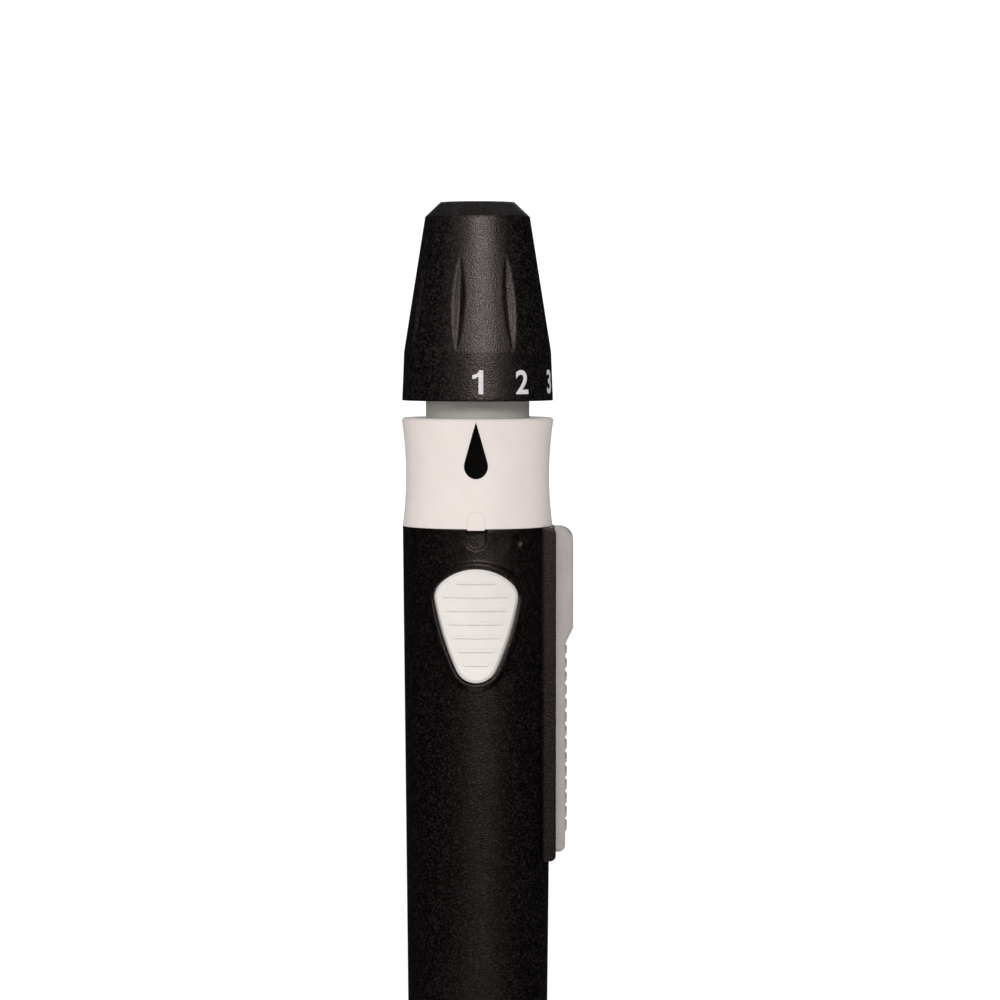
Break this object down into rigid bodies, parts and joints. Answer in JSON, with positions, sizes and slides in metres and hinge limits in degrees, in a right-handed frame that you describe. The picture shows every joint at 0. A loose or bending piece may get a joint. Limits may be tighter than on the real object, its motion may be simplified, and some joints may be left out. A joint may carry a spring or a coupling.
{
  "type": "lancing device",
  "caption": "Pen-shaped lancing device with a depth dial, pull-off endcap, release button, side ejector slider and a sprung lancet carrier.",
  "frame": {"origin": "centre of the flat base, on the barrel's axis", "axes": "+Z along the barrel towards the tip, -Y towards the release button, +X towards the side slider"},
  "size_m": [0.0199, 0.0182, 0.1078],
  "materials": {
    "black_barrel": "fine matte texture",
    "black_dial": "fine matte texture",
    "white_collar": "satin",
    "white_button": "satin",
    "grey_neck": "satin",
    "grey_slider": "satin",
    "inner_plastic": "satin",
    "spring_steel": "bright"
  },
  "bodies": {
    "barrel": {"front_shell": "black_barrel", "back_shell": "black_barrel", "end_plug": "black_barrel", "inner_frame": "inner_plastic", "drive_spring": "spring_steel", "return_spring": "spring_steel", "button_spring": "spring_steel"},
    "button": {"release_button": "white_button"},
    "carrier": {"lancet_carrier": "inner_plastic", "spring_clip": "spring_steel"},
    "slider": {"side_slider": "grey_slider", "ejector_pin": "spring_steel"},
    "endcap": {"endcap_collar": "white_collar"},
    "click": {"click_ring": "spring_steel"},
    "dial": {"depth_dial": "black_dial", "depth_sleeve": "grey_neck"}
  },
  "joints": [
    {"name": "button_press", "type": "slide", "parent": "barrel", "child": "button", "axis": [0, 1, 0], "range_m": [0, 0.001], "stiffness_N_per_m": 1200, "springref_m": -0.001, "deforming": ["button_spring"]},
    {"name": "carrier_slide", "type": "slide", "parent": "barrel", "child": "carrier", "axis": [0, 0, 1], "range_m": [-0.005, 0.005], "stiffness_N_per_m": 500, "deforming": ["drive_spring", "return_spring"]},
    {"name": "eject_slide", "type": "slide", "parent": "barrel", "child": "slider", "axis": [0, 0, 1], "range_m": [0, 0.012]},
    {"name": "endcap_pull", "type": "slide", "parent": "barrel", "child": "endcap", "axis": [0, 0, 1], "range_m": [0, 0.045]},
    {"name": "dial_advance", "type": "slide", "parent": "endcap", "child": "click", "axis": [0, 0, 1], "range_m": [-0.0014, 0]},
    {"name": "dial_turn", "type": "hinge", "parent": "click", "child": "dial", "pos_m": [0, 0, 0.085], "axis": [0, 0, -1], "range_deg": [0, 144]}
  ],
  "couplings": [
    {"joint": "dial_advance", "follows": "dial_turn", "m_per_rad": -0.000557}
  ]
}
